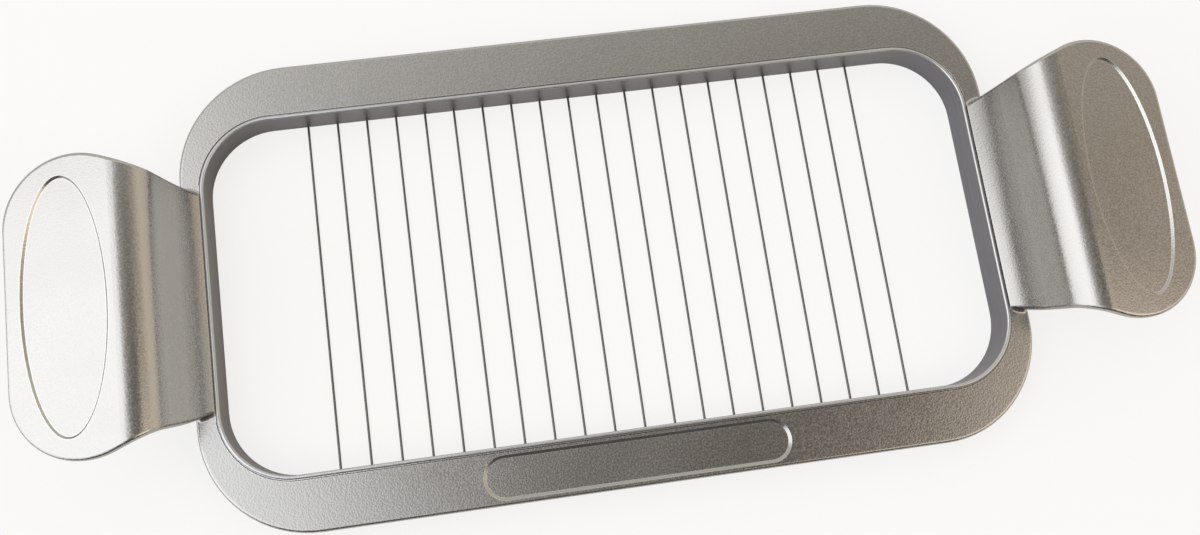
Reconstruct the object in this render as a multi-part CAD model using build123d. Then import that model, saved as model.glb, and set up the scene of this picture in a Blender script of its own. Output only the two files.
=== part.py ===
from build123d import *
import math
import os

# Wire butter slicer: a cast frame with two wing handles, a ring pressed into its opening, and
# twenty cutting wires across the ring. Millimetres, +Z up. The origin is the middle of the plane
# that the slicer rests on; +X runs along the slicer and -Y is the side nearest the user.

# Wires
WIRE_COUNT = 20
WIRE_PITCH = 6.35
WIRE_DIAMETER = 0.5
WIRE_CLEARANCE = 0.05
WIRE_TAIL_OVER_CLAMP = 1.2

# Opening, measured at the ring's outside, where it meets the casting
OPENING_LENGTH = 165.5
OPENING_WIDTH = 75.3
OPENING_CORNER = 15.1

# Ring
RING_WALL = 0.85
RING_STAND = 0.35
RING_ROUND = 0.4

# Casting: flat flange on a skirt wall
FLANGE_LENGTH = 173.6
FLANGE_WIDTH = 96.8
FLANGE_CORNER = 22.9
FLANGE_TOP = 7.7
FLANGE_THICKNESS = 2.2
FLANGE_ROUND = 0.7
SKIRT_WALL = 2.0
SKIRT_FOOT_CHAMFER = 0.4
SEAM_WIDTH = 0.15
SEAM_DEPTH = 0.3
SEAM_BEVEL = 0.15

# Handles
HANDLE_REACH = 33.65
HANDLE_THICKNESS = 2.2
HANDLE_ROUND = 0.7
HANDLE_ROOT_WIDTH = 44.9
HANDLE_FLARE = 21.6
HANDLE_CORNER = 13.9
HANDLE_ROOT_RISE = 0.2
ROOT_ANGLE = 45.0
ROOT_CURVE_RADIUS = 16.6
ROOT_BURIED_TURN = 12.0
ROOT_BURIED_LENGTH = 4.0
ROOT_FILLET = 0.8
RAMP_ANGLE = 74.0
RAMP_LENGTH = 5.2
CREST_RADIUS = 7.0
WING_FALL = 5.8

# Thumb ovals in the wings, with sloping sides
THUMB_OVAL_LENGTH = 50.0
THUMB_OVAL_WIDTH = 16.7
THUMB_OVAL_FROM_OPENING = 22.4
THUMB_OVAL_DEPTH = 0.4
THUMB_OVAL_SLOPE = 0.45

# Long shallow panel in the front rail, with sloping sides
PANEL_LENGTH = 63.3
PANEL_WIDTH = 8.9
PANEL_DEPTH = 0.5
PANEL_SLOPE = 0.6
PANEL_FROM_MIDDLE = 42.95

# Clamp bars and their screws, under the rails
CLAMP_LENGTH = 134.0
CLAMP_WIDTH = 4.8
CLAMP_BOTTOM = 1.2
CLAMP_HEIGHT = 2.4
CLAMP_CHAMFER = 0.3
SCREW_SPACING = 38.1
SCREWS_PER_BAR = 4
SCREW_DIAMETER = 2.5
SCREW_HEAD_DIAMETER = 4.4
SCREW_LENGTH = 4.0
BOSS_DIAMETER = 5.0
SCREW_CLEARANCE = 0.05
SCREW_SLOT_LENGTH = 2.4
SCREW_SLOT_WIDTH = 0.6
SCREW_SLOT_DEPTH = 0.6

# Height that clears every piece, for cuts that go right through
ABOVE_ALL = 60.0

# Worked out from the sizes above
OPENING_END = OPENING_LENGTH / 2
OPENING_SIDE = OPENING_WIDTH / 2
FLANGE_BOTTOM = FLANGE_TOP - FLANGE_THICKNESS
SKIRT_BACK = OPENING_SIDE + SKIRT_WALL
WIRE_RADIUS = WIRE_DIAMETER / 2
WIRE_HEIGHT = WIRE_RADIUS + WIRE_CLEARANCE
WIRE_TAIL_Y = SKIRT_BACK + WIRE_RADIUS + WIRE_CLEARANCE
WIRE_NOTCH = WIRE_DIAMETER + 2 * WIRE_CLEARANCE
CLAMP_FRONT_FACE = WIRE_TAIL_Y + WIRE_RADIUS + WIRE_CLEARANCE
CLAMP_Y = CLAMP_FRONT_FACE + CLAMP_WIDTH / 2
CLAMP_TOP = CLAMP_BOTTOM + CLAMP_HEIGHT
SCREW_BOTTOM = CLAMP_BOTTOM + SCREW_CLEARANCE
WIRE_PLACES = [(i - (WIRE_COUNT - 1) / 2) * WIRE_PITCH for i in range(WIRE_COUNT)]
SCREW_PLACES = [(i - (SCREWS_PER_BAR - 1) / 2) * SCREW_SPACING for i in range(SCREWS_PER_BAR)]


def slab(length, width, corner, bottom, top):
    """A plate with rounded corners between two heights."""
    outline = RectangleRounded(length, width, corner)
    return Pos(0, 0, bottom) * extrude(outline, top - bottom)


def opening_slab(outward, bottom, top):
    """A plate of the opening's outline, moved outward by a distance all round."""
    return slab(
        OPENING_LENGTH + 2 * outward,
        OPENING_WIDTH + 2 * outward,
        OPENING_CORNER + outward,
        bottom,
        top,
    )


def handle_line(depth):
    """The handle in side view, as the line that lies a given depth below its top surface."""
    steep = math.radians(ROOT_ANGLE)
    centre = Vector(
        OPENING_END - ROOT_CURVE_RADIUS * math.sin(steep),
        FLANGE_TOP + HANDLE_ROOT_RISE + ROOT_CURVE_RADIUS * math.cos(steep),
    )
    first = math.radians(ROOT_ANGLE - ROOT_BURIED_TURN)
    radius = ROOT_CURVE_RADIUS + depth
    start = centre + Vector(math.sin(first), -math.cos(first)) * radius
    along = Vector(math.cos(first), math.sin(first))
    root = JernArc(start, along, radius, RAMP_ANGLE - ROOT_ANGLE + ROOT_BURIED_TURN)
    ramp = Line(root @ 1, root @ 1 + (root % 1) * RAMP_LENGTH)
    crest = JernArc(ramp @ 1, ramp % 1, CREST_RADIUS - depth, -(RAMP_ANGLE + WING_FALL))
    wing = Line(crest @ 1, crest @ 1 + (crest % 1) * HANDLE_REACH)
    return [root, ramp, crest, wing]


def handle_band(upper, lower):
    """The solid between two depths below the handle's top surface, wider than the handle."""
    top = handle_line(upper)
    bottom = handle_line(lower)
    ends = [Line(top[0] @ 0, bottom[0] @ 0), Line(top[-1] @ 1, bottom[-1] @ 1)]
    side_view = make_face(Curve() + top + bottom + ends)
    return extrude(Plane.XZ * side_view, FLANGE_WIDTH / 2, both=True)


def handle_outline():
    """The handle seen from above: a flared tab with large round corners."""
    flare = math.tan(math.radians(HANDLE_FLARE))
    buried = HANDLE_ROOT_WIDTH / 2 - ROOT_BURIED_LENGTH * flare
    tip = HANDLE_ROOT_WIDTH / 2 + HANDLE_REACH * flare
    inner = OPENING_END - ROOT_BURIED_LENGTH
    outer = OPENING_END + HANDLE_REACH
    tab = Polygon((inner, -buried), (outer, -tip), (outer, tip), (inner, buried), align=None)
    return fillet(tab.vertices().group_by(Axis.X)[-1], HANDLE_CORNER)


def is_upright(face):
    """True for a face that stands square to the resting plane."""
    return abs(face.normal_at(face.center()).Z) < 0.01


def is_not_upright(edge):
    """True unless an edge runs straight up."""
    rise = (edge @ 1) - (edge @ 0)
    return abs(rise.Z) < 0.98 * rise.length


def thumb_recess():
    """The shallow oval that is sunk into the flat of the wing, square to the wing's slope."""
    wing = handle_line(0)[-1]
    along = wing % 0
    inner_end = wing @ 0
    middle_x = OPENING_END + THUMB_OVAL_FROM_OPENING
    middle = inner_end + along * ((middle_x - inner_end.X) / along.X)
    surface = Plane((middle.X, 0, middle.Y), x_dir=(along.X, 0, along.Y), z_dir=(-along.Y, 0, along.X))
    rim = Ellipse(THUMB_OVAL_WIDTH / 2, THUMB_OVAL_LENGTH / 2)
    floor = Ellipse(THUMB_OVAL_WIDTH / 2 - THUMB_OVAL_SLOPE, THUMB_OVAL_LENGTH / 2 - THUMB_OVAL_SLOPE)
    return loft([surface * rim, surface.offset(-THUMB_OVAL_DEPTH) * floor])


def make_handle():
    """One curved wing handle with its thumb oval, at the +X end."""
    plate = handle_band(0, HANDLE_THICKNESS) & extrude(handle_outline(), ABOVE_ALL)
    rim_edges = plate.faces().filter_by(is_upright).edges().filter_by(is_not_upright)
    return fillet(rim_edges, HANDLE_ROUND) - thumb_recess()


def is_handle_foot(edge):
    """True for the long edge where the back of a handle leaves the flange."""
    middle = edge @ 0.5
    on_flange = abs((edge @ 0).Z - FLANGE_TOP) < 0.01 and abs(middle.Z - FLANGE_TOP) < 0.01
    beside_skirt = OPENING_END < abs(middle.X) < OPENING_END + 2 * SKIRT_WALL
    handle_wide = abs(edge.length - HANDLE_ROOT_WIDTH) < SKIRT_WALL
    return on_flange and beside_skirt and handle_wide


def wire_notches():
    """Cuts across the feet of the ring and the skirt, one for each wire."""
    notch = Box(WIRE_NOTCH, 2 * SKIRT_BACK, 2 * WIRE_NOTCH)
    return [Pos(x, 0, 0) * notch for x in WIRE_PLACES]


def panel_recess():
    """The long shallow panel with rounded ends that is sunk into the front rail."""
    floor = SlotOverall(PANEL_LENGTH - 2 * PANEL_SLOPE, PANEL_WIDTH - 2 * PANEL_SLOPE)
    sides = -math.degrees(math.atan2(PANEL_SLOPE, PANEL_DEPTH))
    return Pos(0, -PANEL_FROM_MIDDLE, FLANGE_TOP - PANEL_DEPTH) * extrude(floor, PANEL_DEPTH, taper=sides)


def seam_bevel():
    """What the bevel on the flange's inner edge takes off, which stops short of the handles."""
    outline = RectangleRounded(
        OPENING_LENGTH + 2 * SEAM_WIDTH, OPENING_WIDTH + 2 * SEAM_WIDTH, OPENING_CORNER + SEAM_WIDTH
    )
    bevel = Pos(0, 0, FLANGE_TOP - SEAM_BEVEL) * extrude(outline, SEAM_BEVEL, taper=-45)
    return bevel - Box(FLANGE_LENGTH, HANDLE_ROOT_WIDTH + 2 * SKIRT_WALL, ABOVE_ALL)


def screw_shape(clearance, below):
    """A countersunk screw, head down, made larger by a clearance and longer below its head."""
    head = SCREW_HEAD_DIAMETER / 2 + clearance
    shank = SCREW_DIAMETER / 2 + clearance
    end = SCREW_LENGTH + clearance
    outline = Polygon(
        (0, -below), (head, -below), (head, 0), (shank, head - shank), (shank, end), (0, end), align=None
    )
    return revolve(Plane.XZ * outline, Axis.Z)


def at_screws(piece, side, height):
    """Copies of a piece at the screws of one rail, +1 for the back rail and -1 for the front."""
    return [Pos(x, side * CLAMP_Y, height) * piece for x in SCREW_PLACES]


def make_frame():
    """The casting: flange, skirt, screw bosses, both handles and the long panel."""
    flange = slab(FLANGE_LENGTH, FLANGE_WIDTH, FLANGE_CORNER, FLANGE_BOTTOM, FLANGE_TOP)
    flange = fillet(flange.edges().filter_by(Plane.XY), FLANGE_ROUND)
    skirt = opening_slab(SKIRT_WALL, 0, FLANGE_TOP)
    skirt = chamfer(skirt.edges().group_by(Axis.Z)[0], SKIRT_FOOT_CHAMFER)
    handle = make_handle()
    body = flange + skirt + handle + mirror(handle, Plane.YZ)
    body -= opening_slab(0, -ABOVE_ALL, ABOVE_ALL)
    body = fillet(body.edges().filter_by(is_handle_foot), ROOT_FILLET)
    body -= [opening_slab(SEAM_WIDTH, FLANGE_TOP - SEAM_DEPTH, ABOVE_ALL), seam_bevel(), panel_recess()]
    boss = extrude(Circle(BOSS_DIAMETER / 2), FLANGE_BOTTOM - CLAMP_TOP)
    screw_room = screw_shape(SCREW_CLEARANCE, 0)
    for side in (-1, 1):
        body += at_screws(boss, side, CLAMP_TOP)
        body -= at_screws(screw_room, side, SCREW_BOTTOM)
    return body - wire_notches()


def make_wire_ring():
    """The ring pressed into the opening, with a rounded lip and the wires' notches."""
    ring = opening_slab(0, 0, FLANGE_TOP + RING_STAND)
    ring -= opening_slab(-RING_WALL, -ABOVE_ALL, ABOVE_ALL)
    ring = fillet(ring.edges().group_by(Axis.Z)[-1], RING_ROUND)
    return ring - wire_notches()


def make_wire(x):
    """One cutting wire: straight under the ring, with both tails bent up sharply behind the skirt."""
    tail_top = CLAMP_TOP + WIRE_TAIL_OVER_CLAMP
    route = Polyline(
        (x, -WIRE_TAIL_Y, tail_top),
        (x, -WIRE_TAIL_Y, WIRE_HEIGHT),
        (x, WIRE_TAIL_Y, WIRE_HEIGHT),
        (x, WIRE_TAIL_Y, tail_top),
    )
    section = Plane(route @ 0, z_dir=route % 0) * Circle(WIRE_RADIUS)
    return sweep(section, path=route, transition=Transition.ROUND)


def make_wire_clamp(side):
    """The bar that holds the wires' tails against the back of the skirt, under one rail."""
    bar = extrude(SlotOverall(CLAMP_LENGTH, CLAMP_WIDTH), CLAMP_HEIGHT)
    bar = chamfer(bar.edges().group_by(Axis.Z)[0], CLAMP_CHAMFER)
    bar = Pos(0, side * CLAMP_Y, CLAMP_BOTTOM) * bar
    return bar - at_screws(screw_shape(SCREW_CLEARANCE, CLAMP_BOTTOM), side, SCREW_BOTTOM)


def make_clamp_screws(side):
    """The countersunk screws of one bar, as separate solids."""
    slot = Box(SCREW_SLOT_LENGTH, SCREW_SLOT_WIDTH, 2 * SCREW_SLOT_DEPTH)
    screw = screw_shape(0, 0) - slot - Rot(0, 0, 90) * slot
    return Compound(children=at_screws(screw, side, SCREW_BOTTOM))


def make_pieces():
    """Every piece of the slicer by name."""
    pieces = {"frame": make_frame(), "wire_ring": make_wire_ring()}
    for number, x in enumerate(WIRE_PLACES, 1):
        pieces[f"wire_{number:02d}"] = make_wire(x)
    for name, side in (("front", -1), ("back", 1)):
        pieces[f"wire_clamp_{name}"] = make_wire_clamp(side)
        pieces[f"clamp_screws_{name}"] = make_clamp_screws(side)
    return pieces


if __name__ == "__main__":
    os.makedirs("parts", exist_ok=True)
    for name, piece in make_pieces().items():
        export_step(piece, f"parts/{name}.step")
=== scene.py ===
import math

import bpy
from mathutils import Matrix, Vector


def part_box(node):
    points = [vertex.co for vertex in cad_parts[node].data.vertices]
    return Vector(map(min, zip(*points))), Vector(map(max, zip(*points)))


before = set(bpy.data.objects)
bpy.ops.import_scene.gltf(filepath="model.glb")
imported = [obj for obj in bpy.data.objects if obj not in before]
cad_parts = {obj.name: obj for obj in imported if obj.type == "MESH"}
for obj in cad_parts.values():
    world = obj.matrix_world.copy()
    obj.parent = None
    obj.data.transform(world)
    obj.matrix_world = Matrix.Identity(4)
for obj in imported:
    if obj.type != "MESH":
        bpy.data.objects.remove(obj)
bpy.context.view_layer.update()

# ---------------------------------------------------------------- driving values
# They are in metres and degrees, unless a comment says otherwise.

MM = 0.001

# Camera: close above the slicer, a little to its left and towards the user. The lens and the
# sensor are in millimetres, and the shift is in widths of the picture.
CAMERA_PLACE = (-0.02902, -0.03895, 0.23462)
CAMERA_TURN = (11.807, -3.334, -7.778)
CAMERA_LENS = 33.2
CAMERA_SENSOR = 36
CAMERA_SHIFT = (0.0333, -0.0333)
CAMERA_NEAR = 0.01

# Soft boxes. The left one leans over the slicer, from near the floor to almost overhead. The right
# one is smaller, warmer and nearer the user.
LEFT_SOFTBOX = {
    "place": (-0.75, -0.10, 0.71),
    "aim": (-0.08, 0.19, 0.01),
    "size": (1.12, 1.52),
    "radiance": 1.20,
    "hex_colour": "#F7FAFF",
}
RIGHT_SOFTBOX = {
    "place": (0.66, -0.37, 0.76),
    "aim": (0.0, 0.0, 0.01),
    "size": (0.76, 0.70),
    "radiance": 1.35,
    "hex_colour": "#FFEDD8",
}
# Each box is a stack of lamps of these relative sizes, which fades its edge. They stand a little
# apart, the largest at the back.
SOFTBOX_STACK = (0.82, 0.94, 1.06, 1.18)
SOFTBOX_GAP = 0.01

# The room as the metal sees it. It is dark in one patch overhead, brightest about 50 degrees away
# from it, and a little dimmer beyond. Each tone stands at the cosine of its angle to the patch.
DARK_PATCH = (0.35, -0.20, 0.915)
ROOM_TONES = (
    (0.00, "#E6E1DA"),
    (0.35, "#F2EDE5"),
    (0.64, "#FFFAF2"),
    (0.77, "#DBD9D4"),
    (0.83, "#BCB7AF"),
    (0.88, "#ABA39A"),
    (0.95, "#807A72"),
    (1.00, "#524E49"),
)
# The right of the room turns warmer, and the user's side turns dark. Both changes lie between two
# values of a direction: its part to the right, and its part away from the user.
RIGHT_TINT = "#FFF4E4"
RIGHT_EDGES = (0.40, 0.75)
USER_SIDE_LIGHT = 0.12
USER_SIDE_EDGES = (-0.85, -0.30)

# The floor is lifted towards plain white by these shares, as the camera and as the metal see it.
FLOOR_SIZE = 3.0
FLOOR_COLOUR = "#F2F1EF"
FLOOR_LIFT_SEEN = 0.78
FLOOR_LIFT_REFLECTED = 0.05
WHITE = "#FFFFFF"

# Most of a noise texture's values lie between these two.
NOISE_LOW = 0.3
NOISE_HIGH = 0.7

# The casting's edges, painted lighter as a painted highlight: how far they reach in from the corner,
# in millimetres, how many rays look for them, and the cosines of the turn at which the painted
# highlight starts and is full.
EDGE_REACH = 0.3
EDGE_RAYS = 6
EDGE_STARTS = 0.995
EDGE_FULL = 0.96

# The top of the ring and the height of its lip, which is painted lighter as a painted highlight, in
# millimetres.
RING_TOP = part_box("wire_ring")[1][2] / MM
RING_LIP = 0.35

CAST_NODES = ["frame"]
RING_NODES = ["wire_ring"]
WIRE_NODES = sorted(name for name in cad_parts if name[:5] == "wire_" and name[5:].isdigit())
CLAMP_NODES = ["wire_clamp_front", "wire_clamp_back"]
SCREW_NODES = ["clamp_screws_front", "clamp_screws_back"]


# ---------------------------------------------------------------- small tools


def linear(hex_colour):
    """The linear colour, with alpha, of an sRGB hex value."""
    channels = [int(hex_colour[i:i + 2], 16) / 255 for i in (1, 3, 5)]
    return [c / 12.92 if c <= 0.04045 else ((c + 0.055) / 1.055) ** 2.4 for c in channels] + [1.0]


def add_node(tree, kind, inputs=None, **settings):
    """Adds a shader node, sets its properties, and fills its inputs with values or links."""
    node = tree.nodes.new("ShaderNode" + kind)
    for name, value in settings.items():
        setattr(node, name, value)
    for key, value in (inputs or {}).items():
        socket = node.inputs[key]
        if isinstance(value, bpy.types.NodeSocket):
            tree.links.new(value, socket)
        else:
            socket.default_value = value
    return node


def new_material(name):
    """An empty material with its node tree and a place in millimetres to hang patterns on."""
    material = bpy.data.materials.new(name)
    material.use_nodes = True
    tree = material.node_tree
    tree.nodes.clear()
    place = add_node(tree, "TexCoord")
    inputs = {0: place.outputs["Object"], "Scale": 1 / MM}
    millimetres = add_node(tree, "VectorMath", inputs, operation="SCALE")
    return material, tree, millimetres.outputs[0]


def marks_of_size(tree, mm, size, detail=2.0):
    """Random marks that are this many millimetres long in X, Y and Z."""
    marks_per_mm = [1 / length for length in size]
    place = add_node(tree, "VectorMath", {0: mm, 1: marks_per_mm}, operation="MULTIPLY")
    inputs = {"Vector": place.outputs[0], "Scale": 1.0, "Detail": detail}
    return add_node(tree, "TexNoise", inputs).outputs["Fac"]


def full_range(marks):
    """The inputs that stretch the usual values of random marks over a whole range."""
    return {"Value": marks, "From Min": NOISE_LOW, "From Max": NOISE_HIGH}


def shaded_by(tree, marks, dark, light):
    """A colour that changes with random marks from a dark to a light tone."""
    share = add_node(tree, "MapRange", full_range(marks)).outputs["Result"]
    tones = {"Fac": share, "Color1": linear(dark), "Color2": linear(light)}
    return add_node(tree, "MixRGB", tones).outputs["Color"]


def finish_as_metal(tree, colour, roughness, marks, strength, depth):
    """Ends a material as bare metal, with marks this many millimetres deep at this strength."""
    bump = add_node(tree, "Bump", {"Height": marks, "Strength": strength, "Distance": depth * MM})
    skin = {"Base Color": colour, "Metallic": 1.0, "Roughness": roughness}
    metal = add_node(tree, "BsdfPrincipled", {**skin, "Normal": bump.outputs["Normal"]})
    add_node(tree, "OutputMaterial", {"Surface": metal.outputs["BSDF"]})


def paint(nodes, material):
    """Gives a material to carried-over pieces by name."""
    for name in nodes:
        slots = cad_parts[name].data.materials
        slots.clear()
        slots.append(material)


# ---------------------------------------------------------------- materials


def blasted_aluminium():
    """Die-cast aluminium, bead blasted: a soft neutral silver that breaks into a fine sandy grain."""
    material, tree, mm = new_material("aluminium_die_cast_bead_blasted")
    # Beads of about 0.1 mm leave the pits, which are drawn here at 0.4 mm so that they show.
    pits = marks_of_size(tree, mm, size=(0.4, 0.4, 0.4), detail=1.0)
    blasted = shaded_by(tree, pits, dark="#B0B0AF", light="#B9B9B9")
    pitted = add_node(tree, "MapRange", {**full_range(pits), "To Min": 0.19, "To Max": 0.29})
    # The edges are painted lighter, a painted highlight, where the rounded normal turns away from the
    # surface's own.
    face = add_node(tree, "NewGeometry").outputs["Normal"]
    rounded = add_node(tree, "Bevel", {"Radius": EDGE_REACH * MM}, samples=EDGE_RAYS).outputs["Normal"]
    turn = add_node(tree, "VectorMath", {0: face, 1: rounded}, operation="DOT_PRODUCT")
    edge = {"Value": turn.outputs["Value"], "From Min": EDGE_STARTS, "From Max": EDGE_FULL}
    edge = add_node(tree, "MapRange", edge)
    # The edges' colour is mixed towards a light grey: a painted highlight.
    painted_edge_highlight = {"Fac": edge.outputs["Result"], "Color1": blasted, "Color2": linear("#D8D8D8")}
    colour = add_node(tree, "MixRGB", painted_edge_highlight).outputs["Color"]
    # Handling and the casting skin change the sheen softly over a centimetre or two.
    sheen = marks_of_size(tree, mm, size=(14.0, 14.0, 14.0))
    handled = add_node(tree, "MapRange", {**full_range(sheen), "To Min": 0.92, "To Max": 1.08})
    rough = {0: pitted.outputs["Result"], 1: handled.outputs["Result"]}
    rough = add_node(tree, "Math", rough, operation="MULTIPLY")
    finish_as_metal(tree, colour, rough.outputs["Value"], pits, strength=1.0, depth=0.02)
    return material


def drawn_ring_steel():
    """Stainless strip, drawn smooth: finer and darker than the casting, its lip painted lighter as a
    painted highlight.
    """
    material, tree, mm = new_material("stainless_strip_drawn")
    # Drawing lines run along the strip for a centimetre or so, a third of a millimetre apart.
    lines = marks_of_size(tree, mm, size=(10.0, 10.0, 1 / 3), detail=3.0)
    wall = shaded_by(tree, lines, dark="#818186", light="#8D8D92")
    # The lip at the top of the ring is painted lighter: a painted highlight along its rim.
    height = add_node(tree, "SeparateXYZ", {0: mm}).outputs["Z"]
    lip = {"Value": height, "From Min": RING_TOP - RING_LIP, "From Max": RING_TOP - RING_LIP / 2}
    lip = add_node(tree, "MapRange", lip)
    painted_lip_highlight = {"Fac": lip.outputs["Result"], "Color1": wall, "Color2": linear("#CACCD0")}
    colour = add_node(tree, "MixRGB", painted_lip_highlight).outputs["Color"]
    rough = add_node(tree, "MapRange", {**full_range(lines), "To Min": 0.32, "To Max": 0.38})
    finish_as_metal(tree, colour, rough.outputs["Result"], lines, strength=0.3, depth=0.01)
    return material


def drawn_wire_steel():
    """Stainless wire, drawn through a die: a dark bright line with faint draw marks along it."""
    material, tree, mm = new_material("stainless_wire_drawn")
    # Draw marks lie a few hundredths of a millimetre apart, and are drawn here at 0.15 mm so that
    # they show.
    lines = marks_of_size(tree, mm, size=(0.15, 7.5, 0.15))
    colour = shaded_by(tree, lines, dark="#656563", light="#71716F")
    rough = add_node(tree, "MapRange", {**full_range(lines), "To Min": 0.18, "To Max": 0.24})
    finish_as_metal(tree, colour, rough.outputs["Result"], lines, strength=0.2, depth=0.002)
    return material


def milled_bar_steel():
    """Plain steel bar, milled: a dull grey with lines along the bar."""
    material, tree, mm = new_material("steel_bar_milled")
    # The cutter leaves lines along the bar, a quarter of a millimetre apart.
    lines = marks_of_size(tree, mm, size=(10.0, 0.25, 0.25), detail=3.0)
    colour = shaded_by(tree, lines, dark="#8E8E8D", light="#A0A09F")
    rough = add_node(tree, "MapRange", {**full_range(lines), "To Min": 0.30, "To Max": 0.42})
    finish_as_metal(tree, colour, rough.outputs["Result"], lines, strength=0.5, depth=0.01)
    return material


def turned_screw_steel():
    """Steel screws, turned and zinc plated: a slightly cool grey with a fine mottle."""
    material, tree, mm = new_material("screw_steel_turned_zinc_plated")
    # Plating crystals are too fine to see, and are drawn here at 0.4 mm so that they show.
    mottle = marks_of_size(tree, mm, size=(0.4, 0.4, 0.4), detail=3.0)
    colour = shaded_by(tree, mottle, dark="#8B8D92", light="#9FA1A6")
    rough = add_node(tree, "MapRange", {**full_range(mottle), "To Min": 0.24, "To Max": 0.34})
    finish_as_metal(tree, colour, rough.outputs["Result"], mottle, strength=0.3, depth=0.01)
    return material


def matt_paper():
    """Matt paper, pale and even, lifted towards white where the camera and the metal see it."""
    material = bpy.data.materials.new("paper_matt")
    material.use_nodes = True
    tree = material.node_tree
    tree.nodes.clear()
    paper = add_node(tree, "BsdfDiffuse", {"Color": linear(FLOOR_COLOUR)})
    white = add_node(tree, "Emission", {"Color": linear(WHITE), "Strength": 1.0})
    path = add_node(tree, "LightPath").outputs
    seen = {0: path["Is Camera Ray"], 1: FLOOR_LIFT_SEEN}
    seen = add_node(tree, "Math", seen, operation="MULTIPLY").outputs[0]
    mirrored = {0: path["Is Glossy Ray"], 1: path["Is Transmission Ray"]}
    mirrored = add_node(tree, "Math", mirrored, operation="MAXIMUM").outputs[0]
    lift = {0: mirrored, 1: FLOOR_LIFT_REFLECTED, 2: seen}
    lift = add_node(tree, "Math", lift, operation="MULTIPLY_ADD").outputs[0]
    mixed = add_node(tree, "MixShader", {"Fac": lift, 1: paper.outputs[0], 2: white.outputs[0]})
    add_node(tree, "OutputMaterial", {"Surface": mixed.outputs[0]})
    return material


# ---------------------------------------------------------------- studio


def make_floor():
    """A plain flat floor under the slicer."""
    half = FLOOR_SIZE / 2
    corners = [(-half, -half, 0), (half, -half, 0), (half, half, 0), (-half, half, 0)]
    mesh = bpy.data.meshes.new("floor")
    mesh.from_pydata(corners, [], [(0, 1, 2, 3)])
    floor = bpy.data.objects.new("floor", mesh)
    floor.data.materials.append(matt_paper())
    bpy.context.scene.collection.objects.link(floor)


def make_softbox(name, place, aim, size, radiance, hex_colour):
    """A soft-edged rectangle of light that faces a point: a stack of lamps that share its radiance."""
    width, height = size
    facing = (Vector(aim) - Vector(place)).normalized()
    for number, scale in enumerate(SOFTBOX_STACK):
        lamp = bpy.data.lights.new(name, "AREA")
        lamp.shape = "RECTANGLE"
        lamp.size = scale * width
        lamp.size_y = scale * height
        lamp.energy = radiance / len(SOFTBOX_STACK) * math.pi * lamp.size * lamp.size_y
        lamp.color = linear(hex_colour)[:3]
        holder = bpy.data.objects.new(name, lamp)
        holder.location = Vector(place) - facing * SOFTBOX_GAP * number
        holder.rotation_euler = facing.to_track_quat("-Z", "Y").to_euler()
        bpy.context.scene.collection.objects.link(holder)


def make_room():
    """A warm grey room with a dark patch overhead and a dark user's side, plain white to the camera."""
    world = bpy.data.worlds.new("studio")
    world.use_nodes = True
    tree = world.node_tree
    tree.nodes.clear()
    direction = add_node(tree, "TexCoord").outputs["Generated"]
    patch = add_node(tree, "VectorMath", {0: direction, 1: DARK_PATCH}, operation="DOT_PRODUCT")
    ramp = add_node(tree, "ValToRGB", {"Fac": patch.outputs["Value"]})
    stops = ramp.color_ramp.elements
    while len(stops) < len(ROOM_TONES):
        stops.new(1.0)
    for stop, (cosine, colour) in zip(stops, ROOM_TONES):
        stop.position = cosine
        stop.color = linear(colour)
    side = add_node(tree, "SeparateXYZ", {0: direction}).outputs
    right = {"Value": side["X"], "From Min": RIGHT_EDGES[0], "From Max": RIGHT_EDGES[1]}
    right = add_node(tree, "MapRange", right).outputs["Result"]
    tint = {"Fac": right, "Color1": ramp.outputs["Color"], "Color2": linear(RIGHT_TINT)}
    tint = add_node(tree, "MixRGB", tint, blend_type="MULTIPLY")
    fade = {"Value": side["Y"], "From Min": USER_SIDE_EDGES[0], "From Max": USER_SIDE_EDGES[1]}
    fade["To Min"] = USER_SIDE_LIGHT
    light = add_node(tree, "MapRange", fade, interpolation_type="SMOOTHSTEP")
    walls = {"Color": tint.outputs["Color"], "Strength": light.outputs["Result"]}
    room = add_node(tree, "Background", walls)
    white = add_node(tree, "Background", {"Color": linear(WHITE), "Strength": 1.0})
    seen = add_node(tree, "LightPath").outputs["Is Camera Ray"]
    mixed = add_node(tree, "MixShader", {"Fac": seen, 1: room.outputs[0], 2: white.outputs[0]})
    add_node(tree, "OutputWorld", {"Surface": mixed.outputs[0]})
    bpy.context.scene.world = world


def make_camera():
    """The photograph's point of view."""
    camera = bpy.data.cameras.new("camera")
    camera.lens = CAMERA_LENS
    camera.sensor_width = CAMERA_SENSOR
    camera.shift_x, camera.shift_y = CAMERA_SHIFT
    camera.clip_start = CAMERA_NEAR
    holder = bpy.data.objects.new("camera", camera)
    holder.location = CAMERA_PLACE
    holder.rotation_euler = [math.radians(angle) for angle in CAMERA_TURN]
    bpy.context.scene.collection.objects.link(holder)
    bpy.context.scene.camera = holder


# ---------------------------------------------------------------- the scene

make_camera()
paint(CAST_NODES, blasted_aluminium())
paint(RING_NODES, drawn_ring_steel())
paint(WIRE_NODES, drawn_wire_steel())
paint(CLAMP_NODES, milled_bar_steel())
paint(SCREW_NODES, turned_screw_steel())
make_floor()
make_softbox("left_softbox", **LEFT_SOFTBOX)
make_softbox("right_softbox", **RIGHT_SOFTBOX)
make_room()
bpy.context.scene.view_settings.view_transform = "Standard"
